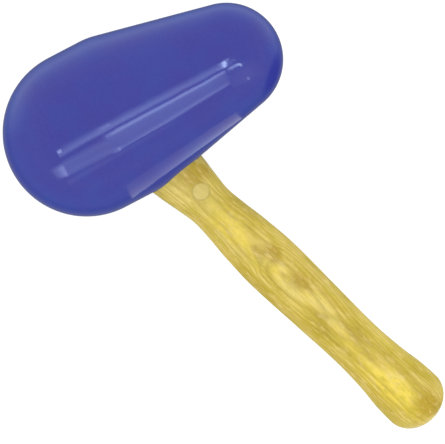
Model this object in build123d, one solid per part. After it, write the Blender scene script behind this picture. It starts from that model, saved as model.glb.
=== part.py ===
"""Dead blow mallet, teardrop head on a wooden handle, lying on its side.

Millimetres, +Z up.  The pieces are made in the tool's own frame: +X along the head from the
large end to the small end, the handle toward -Y, the two crossing at the origin.  The whole
mallet is then laid on the floor, resting on the head and the butt of the handle.
"""
import os
from math import acos, asin, cos, degrees, radians, sin, sqrt, tan

from build123d import *

# ---- head, stations measured along its axis from the tip of the large end
big_radius = 51.0
head_length = 181.5
small_radius = 34.5
cone_angle = 12.7
knee_length = 5.0          # how far the rounded knee reaches either way
wall = 7.0
face_wall = 16.0           # wall at the middle of the large face
small_core_centre = 140.0  # centre of the round end of the cavity

# ---- face cap and its welded spigot
cap_line = 36.0
spigot_length = 8.0
spigot_radius = 45.6
weld_gap = 0.1

# ---- handle
handle_x = 72.27           # where its axis crosses the head's axis, from the large tip
handle_lean = 71.44        # angle between the two axes
depth_ratio = 0.8          # thickness of the handle against its width
butt_start = 253.7
handle_length = 270.9      # from the crossing to the end of the butt
shoulder_gap = 0.15
handle_stations = (        # distance from the crossing, half width
    (38.0, 19.8), (54.4, 18.0), (68.6, 15.8), (79.8, 14.5), (93.0, 15.4), (107.2, 16.95),
    (130.7, 18.35), (167.7, 17.45), (203.9, 16.55), (226.0, 17.65), (240.4, 19.4),
)
butt_half_width = 19.9
shoulder_slope = -0.09     # how the half width changes with length at the shoulder

# ---- socket, bolt and nut, on one line beside the handle's own axis
bolt_offset = 2.45
tenon_radius = 11.0
tenon_end = 2.0
tenon_clearance = 0.3      # left under the end of the tenon
tenon_root = 60.0
sleeve_bore = 11.15
sleeve_gap = 0.05
sleeve_radius = 14.0
sleeve_web = 5.0
strut_radius = 7.0
boss_radius = 10.0
boss_face = -38.0          # inner end of the boss under the bolt head
seat_thickness = 4.5
bolt_radius = 3.0
bolt_hole = 3.3
bolt_length = 120.0
bolt_head_radius = 5.0
bolt_head_height = 6.0
bolt_chamfer = 0.5
bolt_tip_length = 0.6
bolt_tip_taper = 0.8
bolt_clearance = 2.0       # hole beyond the bolt's end
thread_length = 24.0
thread_pitch = 1.0
thread_depth = 0.55
hex_key = 5.0
hex_depth = 3.0
washer_radius = 6.0
washer_bore = 3.2
washer_thickness = 1.6
counterbore_radius = 6.3
plug_gap = 0.03
plug_air = 0.3             # left between a plug and the metal under it
nut_at = 67.1
nut_radius = 5.0
nut_length = 13.0
nut_hole_radius = 5.15
nut_hole_bottom = -8.0
nut_hole_depth = 30.0
nut_floor_gap = 0.2
nut_thread_gap = 0.1
nut_chamfer = 0.5
slot_width = 1.4
slot_depth = 1.6
blank_length = 20.0        # of the neck plug before it is cut flush

# ---- shot
ball_radius = 3.0
ball_pitch = 6.06
shot_clearance = 0.5
shot_travel = 12.0
shot_end = 102.0           # furthest ball at the small end, from the large tip
shot_top = -22.9           # highest ball centre, from the head's axis
shot_bottom = -40.1

# ---- cutting allowances
overcut = 1.0              # how far a cut starts before the face it cuts
beyond = 70.0              # distance from the crossing that is clear of the head

tangent_x = head_length - small_radius + small_radius * sin(radians(cone_angle))
tangent_r = small_radius * cos(radians(cone_angle))
slope = tan(radians(cone_angle))
knee_x = tangent_x - (big_radius - tangent_r) / slope
seat = boss_face - seat_thickness
washer_top = seat - washer_thickness
bolt_top = washer_top - bolt_head_height
bore = big_radius - wall
face_centre = face_wall + bore
spigot_end = cap_line + spigot_length
nut_floor = nut_hole_bottom + nut_floor_gap
nut_top = nut_floor + nut_length
layer_step = ball_pitch / sqrt(2)


def cone_radius(x, inset=0.0):
    """Radius of the cone at x, moved in by inset square to its surface."""
    return tangent_r + (tangent_x - x) * slope - inset / cos(radians(cone_angle))


def axis_frame(offset=0.0, along=0.0):
    """Frame on the handle's axis: X toward the small end, Y sideways, Z toward the butt."""
    lean = radians(handle_lean)
    down = Vector(cos(lean), -sin(lean), 0)
    across = Vector(sin(lean), cos(lean), 0)
    return Plane(origin=across * offset + down * along, x_dir=across, z_dir=down).location


def spun(outline):
    """Solid of revolution about the head's axis, moved so the crossing is the origin."""
    half = make_face(outline)
    return Pos(-handle_x, 0, 0) * revolve(half, Axis.X)


def head_outline():
    """Half outline of the whole head."""
    knee_end = knee_x + knee_length * cos(radians(cone_angle))
    middle = tangent_x - small_radius * sin(radians(cone_angle))
    with BuildLine() as line:
        CenterArc((big_radius, 0), big_radius, 90, 90)
        Line((big_radius, big_radius), (knee_x - knee_length, big_radius))
        TangentArc((knee_x - knee_length, big_radius), (knee_end, cone_radius(knee_end)), tangent=(1, 0))
        Line((knee_end, cone_radius(knee_end)), (tangent_x, tangent_r))
        TangentArc((tangent_x, tangent_r), (head_length, 0), tangent=(1, -slope))
        Line((head_length, 0), (0, 0))
    return line.line


def head_solid():
    return spun(head_outline())


def cavity_outline():
    """Half outline of the hollow inside the body: straight bore, cone, round end."""
    bend = tangent_x - (bore - tangent_r + wall / cos(radians(cone_angle))) / slope
    core_radius = cone_radius(small_core_centre, wall) * cos(radians(cone_angle))
    core_x = small_core_centre + core_radius * sin(radians(cone_angle))
    core_tip = small_core_centre + core_radius
    with BuildLine() as line:
        Line((0, 0), (0, bore))
        Line((0, bore), (bend, bore))
        Line((bend, bore), (core_x, cone_radius(core_x, wall)))
        TangentArc((core_x, cone_radius(core_x, wall)), (core_tip, 0), tangent=(1, -slope))
        Line((core_tip, 0), (0, 0))
    return line.line


def cavity_solid():
    return spun(cavity_outline())


def ring(x0, x1, outer):
    """Disc about the head's axis between two stations."""
    return Pos((x0 + x1) / 2 - handle_x, 0, 0) * Rot(0, 90, 0) * Cylinder(outer, x1 - x0)


def rod(radius, start, end):
    """Round bar on the bolt's line between two distances from the crossing."""
    return axis_frame(bolt_offset, (start + end) / 2) * Cylinder(radius, end - start)


def head_body():
    """Hollow moulding: parallel part, cone and small face, with the boss for the bolt."""
    boss = rod(boss_radius, -beyond, boss_face) & head_solid()
    body = head_solid() - cavity_solid() + boss
    body -= ring(-overcut, cap_line, big_radius + overcut)
    body -= ring(cap_line - overcut, spigot_end + weld_gap, spigot_radius + weld_gap)
    body -= rod(sleeve_radius + sleeve_gap, 0, beyond)
    body -= rod(counterbore_radius, -beyond, seat)
    body -= rod(bolt_hole, seat - overcut, boss_face + overcut)
    return body


def face_cap():
    """Large dome with the spigot that is welded into the body."""
    outer_turn = degrees(acos((big_radius - cap_line) / big_radius))
    inner_turn = degrees(acos((face_centre - spigot_end) / bore))
    rim = big_radius * sin(radians(outer_turn))
    mouth = bore * sin(radians(inner_turn))
    with BuildLine() as line:
        CenterArc((big_radius, 0), big_radius, 180 - outer_turn, outer_turn)
        Line((cap_line, rim), (cap_line, spigot_radius))
        Line((cap_line, spigot_radius), (spigot_end, spigot_radius))
        Line((spigot_end, spigot_radius), (spigot_end, mouth))
        CenterArc((face_centre, 0), bore, 180 - inner_turn, inner_turn)
        Line((face_wall, 0), (0, 0))
    return spun(line.line)


def eye_sleeve():
    """Socket for the tenon, closed by a web, with a strut up to the boss in the far wall."""
    sleeve = rod(sleeve_radius, tenon_end - sleeve_web, beyond) & head_solid()
    sleeve += rod(strut_radius, boss_face, tenon_end - sleeve_web)
    sleeve -= rod(sleeve_bore, tenon_end, beyond)
    return sleeve - rod(bolt_hole, boss_face - overcut, tenon_end + overcut)


def handle_outline():
    """Half outline of the handle in its own frame, width along X and length along Z."""
    points = [(half, u) for u, half in handle_stations]
    points.append((butt_half_width, butt_start))
    nose = handle_length - butt_start
    first = points[0]
    with BuildLine(Plane.XZ) as line:
        Spline(*points, tangents=((shoulder_slope, 1), (0, 1)))
        EllipticalCenterArc((0, butt_start), butt_half_width, nose, 0, arc_size=90)
        Line((0, handle_length), (0, first[1]))
        Line((0, first[1]), first)
    return line.line


def handle_wood():
    """Oval handle with its rounded butt, before it is fitted to the head."""
    turned = revolve(make_face(handle_outline()), Axis.Z)
    return axis_frame() * scale(turned, by=(1, depth_ratio, 1))


def handle():
    """Handle scribed to the head's flank, with its tenon and the holes for bolt and nut."""
    clearance = scale(head_solid(), by=1 + shoulder_gap / big_radius)
    wood = handle_wood() - clearance
    wood += rod(tenon_radius, tenon_end + tenon_clearance, tenon_root)
    hole_end = bolt_top + bolt_head_height + bolt_length + bolt_clearance
    wood -= rod(bolt_hole, tenon_end - overcut, hole_end)
    return wood - nut_hole()


def nut_hole():
    """Cross hole in the neck, open on one side only."""
    middle = Pos(0, 0, nut_hole_bottom + nut_hole_depth / 2)
    return cross_frame() * middle * Cylinder(nut_hole_radius, nut_hole_depth)


def cross_frame():
    """Frame of the nut's hole: Z straight out through the upper side of the neck."""
    return axis_frame(bolt_offset, nut_at) * Rot(-90, 0, 0)


def barrel_nut():
    """Cross dowel with a threaded hole through it and a driver slot in its open end."""
    nut = Pos(0, 0, nut_floor + nut_length / 2) * Cylinder(nut_radius, nut_length)
    nut = chamfer(nut.edges().filter_by(GeomType.CIRCLE), nut_chamfer)
    nut -= Pos(0, 0, nut_top) * Box(2 * nut_radius + overcut, slot_width, 2 * slot_depth)
    thread = rod(bolt_radius + nut_thread_gap, nut_at - 2 * nut_radius, nut_at + 2 * nut_radius)
    return cross_frame() * nut - thread


def neck_plug():
    """Wooden disc over the nut, cut flush with the neck."""
    middle = Pos(0, 0, nut_top + plug_air + blank_length / 2)
    blank = middle * Cylinder(nut_hole_radius - plug_gap, blank_length)
    return cross_frame() * blank & handle_wood()


def handle_bolt():
    """Socket head bolt, made standing on its own axis and then laid on the bolt's line."""
    tip = bolt_head_height + bolt_length
    thread_start = tip - thread_length
    points = [(0, 0), (bolt_head_radius - bolt_chamfer, 0), (bolt_head_radius, bolt_chamfer)]
    points += [(bolt_head_radius, bolt_head_height), (bolt_radius, bolt_head_height)]
    points.append((bolt_radius, thread_start))
    for turn in range(int(thread_length / thread_pitch)):
        z = thread_start + turn * thread_pitch
        points.append((bolt_radius - thread_depth, z + thread_pitch / 2))
        points.append((bolt_radius, z + thread_pitch))
    points += [(bolt_radius - bolt_tip_taper, tip + bolt_tip_length), (0, tip + bolt_tip_length)]
    half = make_face(Polyline(*[(x, 0, z) for x, z in points], close=True))
    bolt = revolve(half, Axis.Z)
    bolt -= extrude(RegularPolygon(hex_key / 2, 6, major_radius=False), hex_depth)
    return axis_frame(bolt_offset, bolt_top) * bolt


def bolt_washer():
    washer = rod(washer_radius, washer_top, seat)
    return washer - rod(washer_bore, washer_top - overcut, seat + overcut)


def top_plug():
    """Plug over the bolt head, flush with the head."""
    plug = rod(counterbore_radius - plug_gap, -beyond, bolt_top - plug_air)
    return plug & head_solid()


def inside(x, radial):
    """True where a ball centre is clear of the cavity's walls, x from the large tip."""
    keep = ball_radius + shot_clearance
    limit = bore - keep
    if x < face_centre:
        limit = sqrt(max(limit**2 - (face_centre - x) ** 2, 0))
    return radial <= min(limit, cone_radius(x, wall + keep))


def shot_charge():
    """Loose steel balls lying along the lower wall, stacked so each sits between four others.

    The ends of the bed are kept clear of the walls over the whole of its travel."""
    balls = []
    rows = int(bore / ball_pitch)
    layers = int((shot_top - shot_bottom) / layer_step) + 1
    for layer in range(layers):
        z = shot_bottom + layer * layer_step
        shift = ball_pitch / 2 if layer % 2 else 0.0
        for row in range(-rows, rows + 1):
            y = row * ball_pitch + shift
            radial = sqrt(y**2 + z**2)
            for column in range(int(shot_end / ball_pitch)):
                x = face_wall + column * ball_pitch + shift
                if x < shot_end and inside(x, radial) and inside(x + shot_travel, radial):
                    balls.append(Pos(x - handle_x, y, z) * Sphere(ball_radius))
    return Compound(children=balls)


def lay_angle():
    """Turn about the head's axis that brings the rounded butt down to the floor."""
    lean = radians(handle_lean)
    nose = handle_length - butt_start
    turn = 0.0
    for _ in range(30):
        across = butt_half_width * cos(lean) * sin(turn)
        along = nose * sin(lean) * sin(turn)
        thick = butt_half_width * depth_ratio * cos(turn)
        half = sqrt(across**2 + along**2 + thick**2)
        turn = asin((big_radius - half) / (butt_start * sin(lean)))
    return degrees(turn)


def lay(piece, angle):
    """Turn the tool onto its side and put the head's axis one radius above the floor."""
    return Pos(0, 0, big_radius) * Rot(angle, 0, 0) * piece


def build():
    angle = lay_angle()
    tool = {
        "head_body": head_body(),
        "face_cap": face_cap(),
        "eye_sleeve": eye_sleeve(),
        "handle": handle(),
        "handle_bolt": handle_bolt(),
        "bolt_washer": bolt_washer(),
        "barrel_nut": barrel_nut(),
        "neck_plug": neck_plug(),
        "top_plug": top_plug(),
    }
    placed = {name: lay(piece, angle) for name, piece in tool.items()}
    placed["shot_charge"] = Pos(0, 0, big_radius) * shot_charge()
    whole = [piece.bounding_box() for piece in placed.values()]
    low = [min(box.min.X for box in whole), min(box.min.Y for box in whole), min(box.min.Z for box in whole)]
    high = [max(box.max.X for box in whole), max(box.max.Y for box in whole)]
    move = Pos(-(low[0] + high[0]) / 2, -(low[1] + high[1]) / 2, -low[2])
    return {name: move * piece for name, piece in placed.items()}


os.makedirs("parts", exist_ok=True)
for node, piece in build().items():
    export_step(piece, f"parts/{node}.step")
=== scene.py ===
import math

import bpy
from mathutils import Matrix, Vector


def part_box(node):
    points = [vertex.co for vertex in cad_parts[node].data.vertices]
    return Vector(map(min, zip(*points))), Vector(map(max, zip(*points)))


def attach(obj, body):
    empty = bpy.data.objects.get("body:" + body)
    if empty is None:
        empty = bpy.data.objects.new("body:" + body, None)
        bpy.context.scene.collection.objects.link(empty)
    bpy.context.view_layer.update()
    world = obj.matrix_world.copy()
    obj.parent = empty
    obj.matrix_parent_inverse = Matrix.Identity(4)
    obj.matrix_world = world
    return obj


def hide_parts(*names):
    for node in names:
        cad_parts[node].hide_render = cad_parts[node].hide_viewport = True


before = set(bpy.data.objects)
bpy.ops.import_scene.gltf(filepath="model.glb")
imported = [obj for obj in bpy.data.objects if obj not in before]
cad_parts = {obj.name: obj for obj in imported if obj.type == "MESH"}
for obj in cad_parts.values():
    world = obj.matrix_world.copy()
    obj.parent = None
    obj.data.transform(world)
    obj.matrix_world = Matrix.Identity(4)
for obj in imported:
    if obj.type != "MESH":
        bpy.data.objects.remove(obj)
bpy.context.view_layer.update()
scene = bpy.context.scene
mm = 0.001

# ---- sizes, in millimetres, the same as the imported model's
big_radius, small_radius, head_length = 51.0, 34.5, 181.5
cone_angle = math.radians(12.7)
knee_length = 5.0
wall, face_wall, small_core_centre = 7.0, 16.0, 140.0
cap_line, spigot_end, spigot_radius, weld_gap = 36.0, 44.0, 45.6, 0.1
handle_x = 72.27
handle_lean = math.radians(71.44)
depth_ratio = 0.8
butt_start, handle_length, butt_half_width = 253.7, 270.9, 19.9
shoulder_slope = -0.09
stations = [
    (38.0, 19.8), (54.4, 18.0), (68.6, 15.8), (79.8, 14.5), (93.0, 15.4), (107.2, 16.95),
    (130.7, 18.35), (167.7, 17.45), (203.9, 16.55), (226.0, 17.65), (240.4, 19.4), (253.7, 19.9),
]
bolt_offset, nut_at = 2.45, 67.1
tenon_radius, tenon_end = 11.0, 2.3
nut_hole_radius, nut_hole_bottom = 5.15, -8.0
sleeve_radius, counterbore_radius, counterbore_floor = 14.05, 6.3, -42.5
boss_radius, boss_bottom, boss_top = 10.0, -48.5, -38.0
bolt_hole_radius, bolt_hole_top = 3.3, -37.0
past_pocket, past_head = -70.0, 60.0       # clear of the head on the bolt's side and on the handle's side
past_handle = 30.0                         # clear of the handle's upper side
head_gap = 0.15                            # between the head and the wood
merge_distance = 0.002
ball_radius, ball_pitch, shot_clearance, shot_travel, shot_end = 3.0, 6.06, 0.5, 12.0, 102.0
shot_top, shot_bottom = -22.9, -40.1
rows_each_side, column_count = 7, 24       # more than fit; inside() leaves out the rest

tangent_x = head_length - small_radius + small_radius * math.sin(cone_angle)
tangent_r = small_radius * math.cos(cone_angle)
slope = math.tan(cone_angle)
knee_x = tangent_x - (big_radius - tangent_r) / slope
small_centre = head_length - small_radius
bore = big_radius - wall
face_centre = face_wall + bore

# ---- steps round the curves
head_steps, grip_steps, hole_steps = 192, 96, 32
dome_steps, face_steps, core_steps = 30, 44, 24
rim_step = 2.5                             # degrees
parallel_steps, knee_steps, cone_steps = 8, 8, 22
core_end_steps, core_cone_steps, core_bore_steps = 16, 10, 6

# ---- where the head and the handle lie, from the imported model
cap_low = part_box("face_cap")[0]
body_low, body_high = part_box("head_body")
tip = Vector((cap_low[0], (body_low[1] + body_high[1]) / 2, (body_low[2] + body_high[2]) / 2))
crossing = tip + Vector((handle_x * mm, 0, 0))


def lay_angle():
    """Turn about the head's axis that brings the rounded butt down to the floor."""
    nose = handle_length - butt_start
    rounds = 30
    turn = 0.0
    for _ in range(rounds):
        wide = butt_half_width * math.cos(handle_lean) * math.sin(turn)
        long = nose * math.sin(handle_lean) * math.sin(turn)
        thick = butt_half_width * depth_ratio * math.cos(turn)
        half = math.sqrt(wide**2 + long**2 + thick**2)
        turn = math.asin((big_radius - half) / (butt_start * math.sin(handle_lean)))
    return turn


lie = lay_angle()
down = Vector((
    math.cos(handle_lean), -math.sin(handle_lean) * math.cos(lie), -math.sin(handle_lean) * math.sin(lie),
))
across = Vector((
    math.sin(handle_lean), math.cos(handle_lean) * math.cos(lie), math.cos(handle_lean) * math.sin(lie),
))
side = down.cross(across)
# the handle's own frame: X down the handle, Y toward the small end, Z out of its upper side
handle_turn = Matrix((down, across, side)).transposed().to_4x4()
handle_frame = Matrix.Translation(crossing) @ handle_turn
head_frame = Matrix.Translation(tip)

# ---- camera
distance = 2.0
view_width = 0.2705                        # metres across, at the head's axis
aim_across, aim_along = 0.0990, -0.0864    # metres from the large tip
view_turn = math.radians(-27.64)
cam_data = bpy.data.cameras.new("camera")
cam_data.sensor_width = 36.0
cam_data.lens = cam_data.sensor_width * distance / view_width
camera = bpy.data.objects.new("camera", cam_data)
scene.collection.objects.link(camera)
camera.location = tip + Vector((aim_across, aim_along, distance))
camera.rotation_euler = (0, 0, view_turn)
scene.camera = camera
scene.view_settings.view_transform = "Standard"


# ---- modelling tools
def deselect():
    bpy.ops.object.select_all(action="DESELECT")


def only(piece):
    deselect()
    piece.select_set(True)
    bpy.context.view_layer.objects.active = piece


def clean(piece):
    """Merges doubles and points every face outwards."""
    only(piece)
    bpy.ops.object.mode_set(mode="EDIT")
    bpy.ops.mesh.select_all(action="SELECT")
    bpy.ops.mesh.remove_doubles(threshold=merge_distance * mm)
    bpy.ops.mesh.normals_make_consistent(inside=False)
    bpy.ops.object.mode_set(mode="OBJECT")


def turned(name, outline, steps):
    """Solid spun round the X axis from an outline of (along, radius) in millimetres."""
    deselect()
    first = outline[0]
    bpy.ops.mesh.primitive_plane_add(size=mm, location=(first[0] * mm, first[1] * mm, 0))
    piece = bpy.context.object
    piece.name = name
    bpy.ops.object.transform_apply(location=True, rotation=True, scale=True)
    bpy.ops.object.mode_set(mode="EDIT")
    bpy.ops.mesh.select_all(action="SELECT")
    bpy.ops.mesh.merge(type="CENTER")
    for before, after in zip(outline, outline[1:]):
        step = ((after[0] - before[0]) * mm, (after[1] - before[1]) * mm, 0)
        bpy.ops.mesh.extrude_vertices_move(TRANSFORM_OT_translate={"value": step})
    bpy.ops.mesh.select_all(action="SELECT")
    bpy.ops.mesh.spin(steps=steps, angle=math.tau, center=(0, 0, 0), axis=(1, 0, 0))
    bpy.ops.object.mode_set(mode="OBJECT")
    clean(piece)
    return piece


def rod(name, radius, start, end, steps=64):
    """Round bar along X between two distances, in millimetres."""
    return turned(name, [(start, 0), (start, radius), (end, radius), (end, 0)], steps)


def move(piece, matrix):
    """Moves the mesh by matrix and leaves the object at the origin."""
    only(piece)
    piece.matrix_world = matrix @ piece.matrix_world
    bpy.ops.object.transform_apply(location=True, rotation=True, scale=True)


def combine(piece, tool, operation):
    """Boolean of piece with tool, which is used up."""
    only(piece)
    change = piece.modifiers.new("cut", "BOOLEAN")
    change.object = tool
    change.operation = operation
    change.solver = "EXACT"
    bpy.ops.object.modifier_apply(modifier=change.name)
    bpy.data.objects.remove(tool)


def smooth(piece, angle=35.0):
    only(piece)
    bpy.ops.object.shade_smooth_by_angle(angle=math.radians(angle))


def arc(centre, radius, start, end, count):
    """Points on a circle round (centre, 0), angles in degrees from +X."""
    points = []
    for i in range(count + 1):
        a = math.radians(start + (end - start) * i / count)
        points.append((centre + radius * math.cos(a), max(radius * math.sin(a), 0.0)))
    return points


def run(a, b, count):
    """Points after a along a straight line to b."""
    return [(a[0] + (b[0] - a[0]) * i / count, a[1] + (b[1] - a[1]) * i / count) for i in range(1, count + 1)]


def cone_radius(x, inset=0.0):
    return tangent_r + (tangent_x - x) * slope - inset / math.cos(cone_angle)


# ---- head
def outer_line(start):
    """Outside of the head from station start, on the large dome, to the small tip."""
    first_angle = 180 - math.degrees(math.acos((big_radius - start) / big_radius))
    points = arc(big_radius, big_radius, first_angle, 90, max(4, int((first_angle - 90) / rim_step)))
    points += run(points[-1], (knee_x - knee_length, big_radius), parallel_steps)
    bend = knee_length / math.tan(cone_angle / 2)
    for i in range(1, knee_steps + 1):
        a = cone_angle * i / knee_steps
        points.append((knee_x - knee_length + bend * math.sin(a), big_radius - bend * (1 - math.cos(a))))
    points += run(points[-1], (tangent_x, tangent_r), cone_steps)
    points += arc(small_centre, small_radius, 90 - math.degrees(cone_angle), 0, dome_steps)[1:]
    return points


def inner_line():
    """Inside of the body from the round end of the core back to the spigot's seat."""
    core_radius = cone_radius(small_core_centre, wall) * math.cos(cone_angle)
    end_angle = 90 - math.degrees(cone_angle)
    points = arc(small_core_centre, core_radius, 0, end_angle, core_end_steps)
    bend = tangent_x - (bore - tangent_r + wall / math.cos(cone_angle)) / slope
    points += run(points[-1], (bend, bore), core_cone_steps)
    points += run(points[-1], (spigot_end + weld_gap, bore), core_bore_steps)
    points.append((spigot_end + weld_gap, spigot_radius + weld_gap))
    points.append((cap_line, spigot_radius + weld_gap))
    return points


def head_moulding():
    body = turned("head_moulding", inner_line() + outer_line(cap_line), head_steps)
    move(body, head_frame)
    off_axis = Matrix.Translation((0, bolt_offset * mm, 0))
    boss = rod("boss", boss_radius, boss_bottom, boss_top)
    eye = rod("eye", sleeve_radius, 0, past_head)
    pocket = rod("pocket", counterbore_radius, past_pocket, counterbore_floor)
    hole = rod("hole", bolt_hole_radius, counterbore_floor - 1, bolt_hole_top, hole_steps)
    for tool in (boss, eye, pocket, hole):
        move(tool, handle_frame @ off_axis)
    combine(body, boss, "UNION")
    combine(body, eye, "DIFFERENCE")
    combine(body, pocket, "DIFFERENCE")
    combine(body, hole, "DIFFERENCE")
    smooth(body)
    return body


def face_dome():
    outer_turn = math.degrees(math.acos((big_radius - cap_line) / big_radius))
    inner_turn = math.degrees(math.acos((face_centre - spigot_end) / bore))
    points = arc(big_radius, big_radius, 180, 180 - outer_turn, face_steps)
    points.append((cap_line, spigot_radius))
    points.append((spigot_end, spigot_radius))
    points += arc(face_centre, bore, 180 - inner_turn, 180, core_steps)
    dome = turned("face_dome", points, head_steps)
    move(dome, head_frame)
    smooth(dome)
    return dome


# ---- handle
def half_width(u):
    """Half width of the handle, eased through its stations."""
    i = max(k for k in range(len(stations) - 1) if stations[k][0] <= u)
    (u0, w0), (u1, w1) = stations[i], stations[i + 1]
    if i > 0:
        s0 = (w1 - stations[i - 1][1]) / (u1 - stations[i - 1][0])
    else:
        s0 = shoulder_slope
    if i + 2 < len(stations):
        s1 = (stations[i + 2][1] - w0) / (stations[i + 2][0] - u0)
    else:
        s1 = 0.0
    t = (u - u0) / (u1 - u0)
    span = u1 - u0
    return (
        (2 * t**3 - 3 * t**2 + 1) * w0
        + (t**3 - 2 * t**2 + t) * span * s0
        + (3 * t**2 - 2 * t**3) * w1
        + (t**3 - t**2) * span * s1
    )


def top_height(u):
    """Height of the handle's upper side above its axis."""
    if u <= butt_start:
        return depth_ratio * half_width(min(u, butt_start - 1e-6))
    along_nose = (u - butt_start) / (handle_length - butt_start)
    return depth_ratio * butt_half_width * math.sqrt(max(1 - along_nose**2, 0.0))


def wooden_grip():
    count = 84
    nose_count = 24
    start = stations[0][0]
    points = [(start, 0.0)]
    for i in range(count + 1):
        u = min(start + (butt_start - start) * i / count, butt_start - 1e-6)
        points.append((u, half_width(u)))
    nose = handle_length - butt_start
    for i in range(1, nose_count + 1):
        a = math.pi / 2 * i / nose_count
        points.append((butt_start + nose * math.sin(a), max(butt_half_width * math.cos(a), 0.0)))
    grip = turned("wooden_grip", points, grip_steps)
    move(grip, handle_frame @ Matrix.Scale(depth_ratio, 4, (0, 0, 1)))
    whole_outline = arc(big_radius, big_radius, 180, 90, dome_steps) + outer_line(big_radius)[1:]
    head = turned("head_shape", whole_outline, head_steps)
    fit = Matrix.Scale(1 + head_gap / big_radius, 4)
    move(head, Matrix.Translation(crossing) @ fit @ Matrix.Translation((-handle_x * mm, 0, 0)))
    combine(grip, head, "DIFFERENCE")
    tenon = rod("tenon", tenon_radius, tenon_end, past_head)
    move(tenon, handle_frame @ Matrix.Translation((0, bolt_offset * mm, 0)))
    combine(grip, tenon, "UNION")
    nut_hole = rod("nut_hole", nut_hole_radius, 0, past_handle)
    out = Matrix.Rotation(math.radians(-90), 4, "Y")
    hole_foot = Matrix.Translation(Vector((nut_at, bolt_offset, nut_hole_bottom)) * mm)
    move(nut_hole, handle_frame @ hole_foot @ out)
    combine(grip, nut_hole, "DIFFERENCE")
    smooth(grip)
    return grip


# ---- shot
def inside(x, radial):
    keep = ball_radius + shot_clearance
    limit = bore - keep
    if x < face_centre:
        limit = math.sqrt(max(limit**2 - (face_centre - x) ** 2, 0))
    return radial <= min(limit, cone_radius(x, wall + keep))


def steel_shot():
    """One low ball, copied to every place in the bed and joined."""
    deselect()
    bpy.ops.mesh.primitive_ico_sphere_add(subdivisions=1, radius=ball_radius * mm)
    ball = bpy.context.object
    ball.name = "steel_shot"
    bpy.ops.object.shade_smooth()
    balls = []
    layer_step = ball_pitch / math.sqrt(2)
    rounding = 0.001
    for layer in range(int((shot_top - shot_bottom) / layer_step + 1 + rounding)):
        z = shot_bottom + layer * layer_step
        shift = ball_pitch / 2 if layer % 2 else 0.0
        for row in range(-rows_each_side, rows_each_side + 1):
            y = row * ball_pitch + shift
            radial = math.hypot(y, z)
            for column in range(column_count):
                x = face_wall + column * ball_pitch + shift
                if x < shot_end and inside(x, radial) and inside(x + shot_travel, radial):
                    copy = ball.copy()
                    copy.data = ball.data.copy()
                    copy.location = tip + Vector((x, y, z)) * mm
                    scene.collection.objects.link(copy)
                    balls.append(copy)
    bpy.data.objects.remove(ball)
    deselect()
    for copy in balls:
        copy.select_set(True)
    bpy.context.view_layer.objects.active = balls[0]
    bpy.ops.object.join()
    shot = bpy.context.object
    shot.name = "steel_shot"
    bpy.ops.object.transform_apply(location=True, rotation=True, scale=True)
    return shot


head = head_moulding()
dome = face_dome()
grip = wooden_grip()
shot = steel_shot()
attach(head, "mallet")
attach(dome, "mallet")
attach(grip, "mallet")
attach(shot, "shot")
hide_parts("head_body")
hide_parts("face_cap")
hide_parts("handle")
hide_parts("shot_charge")


# ---- materials
def material(name):
    made = bpy.data.materials.new(name)
    made.use_nodes = True
    return made, made.node_tree, made.node_tree.nodes["Principled BSDF"]


def add(tree, kind, links=(), **values):
    """Node of a kind, with its properties set and links of (input, output socket)."""
    made = tree.nodes.new(kind)
    for key, value in values.items():
        setattr(made, key, value)
    for socket, source in links:
        if isinstance(source, (int, float, tuple)):
            made.inputs[socket].default_value = source
        else:
            tree.links.new(source, made.inputs[socket])
    return made


def math_node(tree, operation, a, b=0.0, c=None):
    links = [(0, a), (1, b)]
    if c is not None:
        links.append((2, c))
    return add(tree, "ShaderNodeMath", links, operation=operation).outputs[0]


def vector_math(tree, operation, a, b=(0, 0, 0), output=0):
    return add(tree, "ShaderNodeVectorMath", [(0, a), (1, b)], operation=operation).outputs[output]


def noise(tree, vector, scale, detail=3.0, roughness=0.5):
    links = [("Vector", vector), ("Scale", scale), ("Detail", detail), ("Roughness", roughness)]
    return add(tree, "ShaderNodeTexNoise", links)


def stretch(tree, vector, scale, place=(0, 0, 0)):
    links = [("Vector", vector), ("Scale", scale), ("Location", place)]
    return add(tree, "ShaderNodeMapping", links).outputs[0]


def ramp(tree, factor, stops):
    made = add(tree, "ShaderNodeValToRGB", [("Fac", factor)])
    band = made.color_ramp
    while len(band.elements) > 1:
        band.elements.remove(band.elements[-1])
    band.elements[0].position, band.elements[0].color = stops[0][0], (*stops[0][1], 1)
    for place, color in stops[1:]:
        band.elements.new(place).color = (*color, 1)
    return made.outputs["Color"]


def level(tree, factor, stops):
    return ramp(tree, factor, [(place, (v, v, v)) for place, v in stops])


def mix(tree, factor, a, b):
    made = add(tree, "ShaderNodeMix", data_type="RGBA")
    for socket, source in ((0, factor), (6, a), (7, b)):
        if isinstance(source, (int, float)):
            made.inputs[socket].default_value = source
        elif isinstance(source, tuple):
            made.inputs[socket].default_value = (*source, 1)
        else:
            tree.links.new(source, made.inputs[socket])
    return made.outputs[2]


def in_frame(tree, matrix):
    """Object coordinates in millimetres, in the frame given."""
    coordinates = add(tree, "ShaderNodeTexCoord").outputs["Object"]
    spot = tuple(matrix.to_translation())
    turn = tuple(matrix.to_euler())
    links = [("Vector", coordinates), ("Location", spot), ("Rotation", turn), ("Scale", (mm, mm, mm))]
    return add(tree, "ShaderNodeMapping", links, vector_type="TEXTURE").outputs[0]


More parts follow.
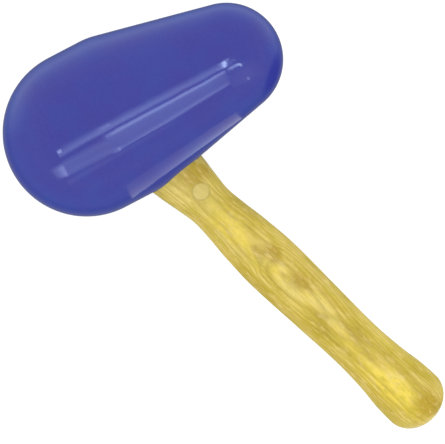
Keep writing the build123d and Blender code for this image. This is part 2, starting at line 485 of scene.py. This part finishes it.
def blue_plastic():
    made, tree, shader = material("blue_plastic")
    p = in_frame(tree, head_frame)
    broad = noise(tree, p, 0.045, 4.0).outputs["Fac"]
    fine = noise(tree, p, 0.6, 3.0).outputs["Fac"]
    color = ramp(tree, broad, [
        (0.3, (0.026, 0.024, 0.27)), (0.5, (0.023, 0.027, 0.285)), (0.7, (0.018, 0.036, 0.3)),
    ])
    color = mix(tree, level(tree, fine, [(0.35, 0.0), (0.75, 0.35)]), color, (0.035, 0.043, 0.33))
    tree.links.new(color, shader.inputs["Base Color"])
    rough = level(tree, fine, [(0.3, 0.03), (0.7, 0.065)])
    tree.links.new(rough, shader.inputs["Roughness"])
    shader.inputs["IOR"].default_value = 1.46
    wave = noise(tree, p, 0.05, 1.0).outputs["Fac"]
    peel = noise(tree, p, 0.8, 2.0).outputs["Fac"]
    wave_height, peel_height = 0.25, 0.006
    waves = math_node(tree, "MULTIPLY", wave, wave_height)
    height = math_node(tree, "MULTIPLY_ADD", peel, peel_height, waves)
    bump = add(tree, "ShaderNodeBump", [("Height", height), ("Distance", mm), ("Strength", 0.5)])
    tree.links.new(bump.outputs[0], shader.inputs["Normal"])
    return made


# growth rings: how far the cut surface rises through them along the handle, in millimetres
ring_spacing = 1.75
ring_middle, ring_curve, first_ring = 0.6, -0.006, 20.06
ring_rise = [
    (38.0, -0.5), (60.0, -0.8), (80.0, -0.9), (100.0, -0.7), (112.0, -0.3), (119.6, 0.0), (124.0, 0.6),
    (128.0, 1.9), (132.0, 2.5), (141.0, 3.2), (150.5, 3.2), (168.0, 2.3), (183.0, 1.0), (193.5, 0.35),
    (203.7, 0.0), (212.0, -0.3), (226.0, -0.6), (245.0, -0.8), (258.0, -0.8), (262.5, -0.8), (266.0, -0.8),
    (268.5, -0.8), (270.3, -0.8),
]
# base colours, before the light, except the pale gold, which also paints in the handle's broad highlight
pale_and_highlight_gold, warm_brown, cream = (0.92, 0.70, 0.07), (0.46, 0.29, 0.010), (0.80, 0.63, 0.17)
late_wood, pale_cloud, olive_cloud = (0.34, 0.22, 0.002), (0.78, 0.61, 0.18), (0.47, 0.385, 0.02)
dark_fibre, bright_fibre, dark_hair = (0.42, 0.31, 0.02), (0.86, 0.70, 0.22), (0.34, 0.25, 0.01)
plug_tone, joint_tone = (0.66, 0.525, 0.15), (0.36, 0.26, 0.04)
plug_share = 0.6
joint_reach, joint_floor = 10.0, 4.0       # joint round the plug: how far out, and from what height
# soft spots of colour: place and reach in the handle's own frame, and strength; the pale spots along the
# crown are lighter wood with a painted highlight
pale_and_highlight_patches = [
    ((97, -1, 12), (28, 10, 14), 0.75), ((236, -3, 13), (36, 13, 14), 0.85),
    ((138, -1, 14), (13, 6, 14), 0.5), ((160, 0, 14), (22, 5, 14), 0.3),
    ((194, -1.5, 13), (18, 4, 14), 0.6), ((122, -8, 13), (12, 4, 14), 0.4),
]
cream_patches = [
    ((60, -8, 10), (18, 10, 16), 0.75), ((74, -3, 11), (12, 6, 14), 0.4), ((148, -3, 14), (16, 5, 14), 0.75),
    ((176, 1, 14), (22, 4, 14), 0.5), ((108, -9, 12), (22, 3, 14), 0.5), ((70, 10, 10), (12, 5, 14), 0.4),
    ((150, 14, 10), (60, 3, 14), 0.5), ((256, -12, 9), (18, 5, 14), 0.5), ((262, 14, 8), (16, 5, 14), 0.5),
]
brown_patches = [
    ((57, 4, 12), (9, 10, 14), 0.8), ((61, 12, 10), (7, 5, 14), 0.9), ((125, 5.5, 14), (10, 7, 14), 1.0),
    ((118, 0, 14), (7, 4.5, 14), 0.7), ((150, 5.2, 14), (13, 5, 14), 1.0), ((260, 4, 12), (14, 14, 16), 0.85),
    ((168, 9.5, 12), (26, 2.5, 14), 0.45), ((194, 4.5, 13), (18, 2.5, 14), 0.7),
    ((218, 2, 13), (14, 4, 14), 0.4), ((152, -14, 9), (50, 4, 14), 0.4),
    ((220, -14, 9), (42, 3, 14), 0.4), ((240, 8.5, 12), (38, 1.8, 14), 0.6),
    ((110, 4, 13), (14, 6, 14), 0.35), ((178, -3, 13), (20, 3, 14), 0.35),
]


def patch(tree, p, place, reach):
    """Soft spot on the upper side of the handle, 1 at its place and 0 at its reach, in millimetres."""
    links = [("Vector", p), ("Location", place), ("Scale", reach)]
    from_place = add(tree, "ShaderNodeMapping", links, vector_type="TEXTURE").outputs[0]
    fade = add(tree, "ShaderNodeTexGradient", [(0, from_place)], gradient_type="SPHERICAL").outputs[1]
    return level(tree, fade, [(0.0, 0.0), (0.25, 0.35), (0.6, 1.0)])


def lacquered_wood(name, plug=False):
    """Pale hickory under lacquer: growth rings cut flat, fine fibre, the joint round the plug, and a painted
    highlight along the crown.
    """
    made, tree, shader = material(name)
    p = in_frame(tree, handle_frame)
    warp = noise(tree, stretch(tree, p, (0.028, 0.09, 0.09)), 1.0, 3.0, 0.6).outputs["Color"]
    centred = vector_math(tree, "SUBTRACT", warp, (0.5, 0.5, 0.5))
    scaled = vector_math(tree, "MULTIPLY", centred, (0.0, 4.0, 2.2))
    bent = vector_math(tree, "ADD", p, scaled)
    parts = add(tree, "ShaderNodeSeparateXYZ", [(0, bent)]).outputs
    # the rings follow the neck and the butt, and are cut through over the belly
    reach, tall = 280.0, 20.0
    along = math_node(tree, "DIVIDE", parts[0], reach)
    follow = level(tree, along, [(u / reach, (top_height(u) - rise) / tall) for u, rise in ring_rise])
    height = math_node(tree, "MULTIPLY_ADD", follow, -tall, parts[2])
    offset = math_node(tree, "SUBTRACT", parts[1], ring_middle)
    crown = math_node(tree, "MULTIPLY", math_node(tree, "MULTIPLY", offset, offset), ring_curve)
    phase = math_node(tree, "DIVIDE", math_node(tree, "ADD", height, crown), ring_spacing)
    ring = math_node(tree, "FRACT", math_node(tree, "ADD", phase, first_ring))
    line = level(tree, ring, [
        (0.0, 1.0), (0.14, 0.85), (0.3, 0.4), (0.5, 0.1), (0.7, 0.0), (0.86, 0.25), (1.0, 1.0),
    ])
    fibre = noise(tree, stretch(tree, p, (0.035, 1.3, 1.3)), 1.0, 4.0, 0.65).outputs["Fac"]
    hair = noise(tree, stretch(tree, p, (0.14, 4.5, 4.5)), 1.0, 2.0, 0.6).outputs["Fac"]
    cloud = noise(tree, stretch(tree, p, (0.03, 0.11, 0.11)), 1.0, 3.0, 0.6).outputs["Fac"]
    mottle = noise(tree, stretch(tree, p, (0.12, 0.3, 0.3)), 1.0, 4.0, 0.65).outputs["Fac"]
    color = ramp(tree, cloud, [
        (0.34, (0.46, 0.335, 0.022)), (0.45, (0.57, 0.43, 0.040)),
        (0.55, (0.67, 0.51, 0.080)), (0.67, (0.79, 0.62, 0.14)),
    ])
    # the pale gold spots paint the broad highlight along the handle's crown into the colour, over lighter
    # wood
    for tone, patches in ((pale_and_highlight_gold, pale_and_highlight_patches), (warm_brown, brown_patches), (cream, cream_patches)):
        for place, size, strength in patches:
            spot = math_node(tree, "MULTIPLY", patch(tree, p, place, size), strength)
            color = mix(tree, spot, color, tone)
    faded = level(tree, mottle, [(0.36, 0.1), (0.62, 0.85)])
    color = mix(tree, math_node(tree, "MULTIPLY", line, faded), color, late_wood)
    color = mix(tree, level(tree, mottle, [(0.50, 0.0), (0.66, 0.6)]), color, pale_cloud)
    color = mix(tree, level(tree, mottle, [(0.34, 0.5), (0.48, 0.0)]), color, olive_cloud)
    color = mix(tree, level(tree, fibre, [(0.36, 0.32), (0.5, 0.0)]), color, dark_fibre)
    color = mix(tree, level(tree, fibre, [(0.54, 0.0), (0.72, 0.35)]), color, bright_fibre)
    color = mix(tree, level(tree, hair, [(0.58, 0.0), (0.70, 0.4)]), color, dark_hair)
    if plug:
        color = mix(tree, plug_share, color, plug_tone)
    # dark joint round the plug
    from_plug = vector_math(tree, "SUBTRACT", p, (nut_at, bolt_offset, 0.0))
    flat = vector_math(tree, "MULTIPLY", from_plug, (1.0, 1.0, 0.0))
    radius = vector_math(tree, "LENGTH", flat, output="Value")
    joint = level(tree, math_node(tree, "DIVIDE", radius, joint_reach), [
        (0.46, 0.0), (0.51, 0.45), (0.54, 0.45), (0.62, 0.0),
    ])
    upper = add(tree, "ShaderNodeSeparateXYZ", [(0, p)]).outputs[2]
    joint = math_node(tree, "MULTIPLY", joint, math_node(tree, "GREATER_THAN", upper, joint_floor))
    color = mix(tree, joint, color, joint_tone)
    tree.links.new(color, shader.inputs["Base Color"])
    tree.links.new(level(tree, fibre, [(0.3, 0.36), (0.7, 0.5)]), shader.inputs["Roughness"])
    shader.inputs["Specular IOR Level"].default_value = 0.2
    shader.inputs["Coat Weight"].default_value = 0.12
    shader.inputs["Coat Roughness"].default_value = 0.16
    fibre_height, ring_height, hair_height = 0.02, -0.015, -0.012
    rings = math_node(tree, "MULTIPLY", line, ring_height)
    relief = math_node(tree, "MULTIPLY_ADD", fibre, fibre_height, rings)
    relief = math_node(tree, "MULTIPLY_ADD", hair, hair_height, relief)
    bump = add(tree, "ShaderNodeBump", [("Height", relief), ("Distance", mm), ("Strength", 0.6)])
    tree.links.new(bump.outputs[0], shader.inputs["Normal"])
    return made


def plain_steel():
    made, tree, shader = material("plain_steel")
    p = in_frame(tree, head_frame)
    grain = noise(tree, p, 1.5, 4.0).outputs["Fac"]
    color = ramp(tree, grain, [(0.3, (0.42, 0.43, 0.45)), (0.7, (0.60, 0.61, 0.63))])
    tree.links.new(color, shader.inputs["Base Color"])
    tree.links.new(level(tree, grain, [(0.3, 0.22), (0.7, 0.4)]), shader.inputs["Roughness"])
    shader.inputs["Metallic"].default_value = 1.0
    grain_height = 0.02
    links = [("Height", grain), ("Distance", grain_height * mm), ("Strength", 0.4)]
    bump = add(tree, "ShaderNodeBump", links)
    tree.links.new(bump.outputs[0], shader.inputs["Normal"])
    return made


def dress(piece, finish):
    piece.data.materials.clear()
    piece.data.materials.append(finish)


plastic = blue_plastic()
lacquer = lacquered_wood("lacquered_wood")
plug_wood = lacquered_wood("plug_wood", plug=True)
steel = plain_steel()
for piece in (head, dome):
    dress(piece, plastic)
dress(grip, lacquer)
dress(shot, steel)
for node, finish in (
    ("top_plug", plastic), ("eye_sleeve", plastic), ("neck_plug", plug_wood),
    ("handle_bolt", steel), ("bolt_washer", steel), ("barrel_nut", steel),
):
    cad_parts[node].material_slots[0].material = finish


# ---- floor
floor_size, floor_grey, floor_roughness, floor_glow = 20, 0.35, 0.9, 0.8
deselect()
bpy.ops.mesh.primitive_plane_add(size=floor_size, location=(0, 0, 0))
floor = bpy.context.object
floor.name = "floor"
paper, tree, shader = material("pale_paper")
shader.inputs["Base Color"].default_value = (floor_grey, floor_grey, floor_grey, 1)
shader.inputs["Roughness"].default_value = floor_roughness
shader.inputs["Emission Color"].default_value = (1, 1, 1, 1)
shader.inputs["Emission Strength"].default_value = floor_glow
dress(floor, paper)
floor.visible_glossy = False

# ---- light: a white room, its lower half dimmer toward the near left
room_glow = 1.1
world = bpy.data.worlds.new("studio")
scene.world = world
world.use_nodes = True
tree = world.node_tree
way = add(tree, "ShaderNodeTexCoord").outputs["Generated"]
height = math_node(tree, "MULTIPLY_ADD", add(tree, "ShaderNodeSeparateXYZ", [(0, way)]).outputs[2], 0.5, 0.5)
far_side = vector_math(tree, "DOT_PRODUCT", way, (0.35, 0.85, 0.0), "Value")
far_side = level(tree, math_node(tree, "MULTIPLY_ADD", far_side, 0.5, 0.5), [(0.50, 0.0), (0.70, 1.0)])
near = ramp(tree, height, [
    (0.04, (0.22, 0.24, 0.26)), (0.15, (0.18, 0.26, 0.34)), (0.22, (0.36, 0.46, 0.60)),
    (0.33, (0.56, 0.66, 0.80)), (0.5, (0.80, 0.85, 0.90)), (0.6, (1, 1, 1)),
])
far = ramp(tree, height, [
    (0.04, (0.16, 0.20, 0.22)), (0.10, (0.32, 0.42, 0.50)), (0.15, (0.52, 0.66, 0.78)),
    (0.20, (0.78, 0.94, 1.0)), (0.27, (0.86, 1.0, 1.0)), (0.5, (0.92, 1.0, 1.0)), (0.6, (1, 1, 1)),
])
glow = mix(tree, far_side, near, far)
corner = vector_math(tree, "DOT_PRODUCT", way, (0.6, -0.6, -0.53), "Value")
glow = mix(tree, level(tree, corner, [(0.91, 0.0), (0.98, 0.8)]), glow, (0.05, 0.06, 0.09))
tree.links.new(glow, tree.nodes["Background"].inputs["Color"])
tree.nodes["Background"].inputs["Strength"].default_value = room_glow
panel_tint = (0.85, 1.08, 1.52)


def outside_at(x, off):
    """Point of the head's upper side at station x, off millimetres toward the handle, and its normal."""
    if x < big_radius:
        centre, radius = Vector((big_radius, 0, 0)), big_radius
    elif x > tangent_x:
        centre, radius = Vector((small_centre, 0, 0)), small_radius
    else:
        lean = min(max((x - (knee_x - knee_length)) / (2 * knee_length), 0.0), 1.0) * cone_angle
        r = big_radius if x < knee_x else cone_radius(x)
        rise = math.sqrt(r * r - off * off)
        normal = Vector((math.sin(lean), -off / r * math.cos(lean), rise / r * math.cos(lean)))
        return Vector((x, -off, rise)), normal
    rise = math.sqrt(radius**2 - (x - centre.x) ** 2 - off**2)
    point = Vector((x, -off, rise))
    return point, (point - centre).normalized()


# panels are seen only in gloss: hidden from the camera, and they cast no shadow and light nothing else
panels = []
panel_reach, panel_step = 0.4, 0.004       # metres from the head, and how much nearer each next one stands
panel_cells = (24, 4)
brightest = 10.0
spot_edge = 0.3                            # share of a spot that its soft edge takes
least_rim = 0.1


def panel(name, corners, across, along=((0.0, 1.0), (1.0, 1.0))):
    """Curved light panel that the head mirrors to the camera from the patch between four corners.

    Each corner is (station, distance toward the handle), in millimetres, going round. Across and
    along give how much brighter than the room it is, from the first side to the last."""
    reach = panel_reach - panel_step * len(panels)
    deselect()
    bpy.ops.mesh.primitive_grid_add(x_subdivisions=panel_cells[0], y_subdivisions=panel_cells[1], size=1)
    made = bpy.context.object
    made.name = name
    panels.append(made)
    a, b, c, d = corners
    for vertex in made.data.vertices:
        s, t = vertex.co.x + 0.5, vertex.co.y + 0.5
        x = (a[0] * (1 - s) + b[0] * s) * (1 - t) + (d[0] * (1 - s) + c[0] * s) * t
        off = (a[1] * (1 - s) + b[1] * s) * (1 - t) + (d[1] * (1 - s) + c[1] * s) * t
        point, normal = outside_at(x, off)
        spot = tip + point * mm
        sight = (camera.location - spot).normalized()
        vertex.co = spot + (2 * normal.dot(sight) * normal - sight) * reach
    glowing = bpy.data.materials.new(name)
    glowing.use_nodes = True
    tree = glowing.node_tree
    tree.nodes.remove(tree.nodes["Principled BSDF"])
    flat = add(tree, "ShaderNodeSeparateXYZ", [(0, add(tree, "ShaderNodeUVMap").outputs[0])]).outputs
    first = level(tree, flat[1], [(place, extra / brightest) for place, extra in across])
    second = level(tree, flat[0], along)
    extra = math_node(tree, "MULTIPLY", math_node(tree, "MULTIPLY", first, second), brightest)
    room = (room_glow, room_glow, room_glow)
    terms = [(0, extra), (1, panel_tint), (2, room)]
    color = add(tree, "ShaderNodeVectorMath", terms, operation="MULTIPLY_ADD")
    lit = add(tree, "ShaderNodeEmission", [("Color", color.outputs[0]), ("Strength", 1.0)])
    tree.links.new(lit.outputs[0], tree.nodes["Material Output"].inputs["Surface"])
    dress(made, glowing)
    made.visible_camera = False
    made.visible_shadow = False
    made.visible_diffuse = False


def spot_panel(name, station, off, half_length, half_wide, extra, rim=0.0):
    """Small soft lamp mirrored at one place on the head, as bright at its rim as what it covers."""
    corners = (
        (station - half_length, off - half_wide), (station + half_length, off - half_wide),
        (station + half_length, off + half_wide), (station - half_length, off + half_wide),
    )
    low = rim / extra
    ends = max(low, least_rim)
    inner, outer = spot_edge, 1 - spot_edge
    panel(name, corners, [(0.0, extra * low), (inner, extra), (outer, extra), (1.0, extra * low)],
          ((0.0, ends), (inner, 1.0), (outer, 1.0), (1.0, ends)))


panel(
    "band", ((61.8, 8.1), (142.6, 6.5), (142.6, 15.7), (62.2, 22.6)),
    ((0, 0.3), (0.05, 2.6), (0.105, 4.7), (0.16, 4.0), (0.23, 1.7), (0.36, 1.4), (0.7, 1.2), (0.8, 1.8),
     (0.88, 2.7), (0.95, 1.5), (1, 0.4)),
    ((0.0, 0.9), (0.03, 1.0), (0.85, 1.0), (0.97, 0.8), (1.0, 0.3)),
)
panel(
    "dim_band", ((30.5, 10.2), (62.0, 10.0), (62.0, 20.8), (30.5, 20.0)),
    ((0, 0.2), (0.07, 0.6), (0.25, 1.35), (0.45, 1.15), (0.6, 1.2), (0.76, 1.55), (0.9, 1.0), (1, 0.4)),
)
panel(
    "faint_band", ((28.0, 21.0), (110.0, 18.8), (110.0, 22.0), (28.0, 25.5)),
    ((0, 0.1), (0.5, 0.6), (1, 0.0)), ((0, 0.6), (0.1, 1.0), (0.8, 0.6), (1, 0.0)),
)
panel(
    "streak", ((31.0, 1.9), (142.3, 0.9), (142.3, 6.2), (31.0, 8.6)),
    ((0, 0.1), (0.12, 0.5), (0.3, 1.3), (0.46, 2.0), (0.62, 2.7), (0.76, 2.2), (0.92, 0.5), (1, 0)),
    ((0.0, 0.72), (0.2, 0.87), (0.36, 1.0), (0.5, 0.95), (0.7, 0.85), (0.97, 0.8), (1.0, 0.5)),
)
panel(
    "neck_rim", ((58.0, 40.0), (138.0, 31.5), (138.0, 36.4), (58.0, 48.6)),
    ((0, 0.0), (0.35, 0.12), (1, 0.45)), ((0.0, 0.0), (0.3, 1.0), (0.65, 1.0), (1.0, 0.0)),
)
panel(
    "tail_glow", ((144.0, 8.0), (164.0, 7.0), (162.0, 20.0), (144.0, 20.0)),
    ((0, 0.1), (0.35, 0.6), (0.75, 0.7), (1, 0.0)), ((0.0, 0.8), (0.5, 0.9), (1.0, 0.0)),
)
panel(
    "end_glow", ((21.0, 10.6), (31.0, 10.8), (31.0, 20.4), (23.5, 19.0)),
    ((0, 0), (0.3, 4.0), (0.8, 4.2), (1, 0)), ((0.0, 0.0), (0.5, 0.5), (0.85, 1.0), (1.0, 0.6)),
)
panel(
    "hot_diagonal", ((146.6, 5.6), (153.4, 7.6), (153.4, 10.0), (146.6, 7.6)),
    ((0, 0), (0.3, 12.0), (0.7, 12.0), (1, 0)), ((0.0, 0.0), (0.3, 0.7), (0.6, 1.0), (0.85, 0.8), (1.0, 0.0)),
)
spot_panel("hot_right", 144.0, 3.5, 2.7, 2.5, 17.0)
spot_panel("hot_left", 32.7, 4.5, 1.9, 1.4, 6.0, 1.2)
spot_panel("hot_middle", 62.3, 4.2, 1.1, 1.4, 5.0, 1.8)
spot_panel("hot_corner", 63.2, 19.4, 1.2, 1.5, 5.5, 1.2)
spot_panel("hot_low", 152.2, 17.4, 2.4, 1.1, 4.0)
# the handle and what is inside it are kept out of the head's gloss
grip.visible_glossy = False
for name in ("neck_plug", "barrel_nut", "handle_bolt", "eye_sleeve"):
    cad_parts[name].visible_glossy = False
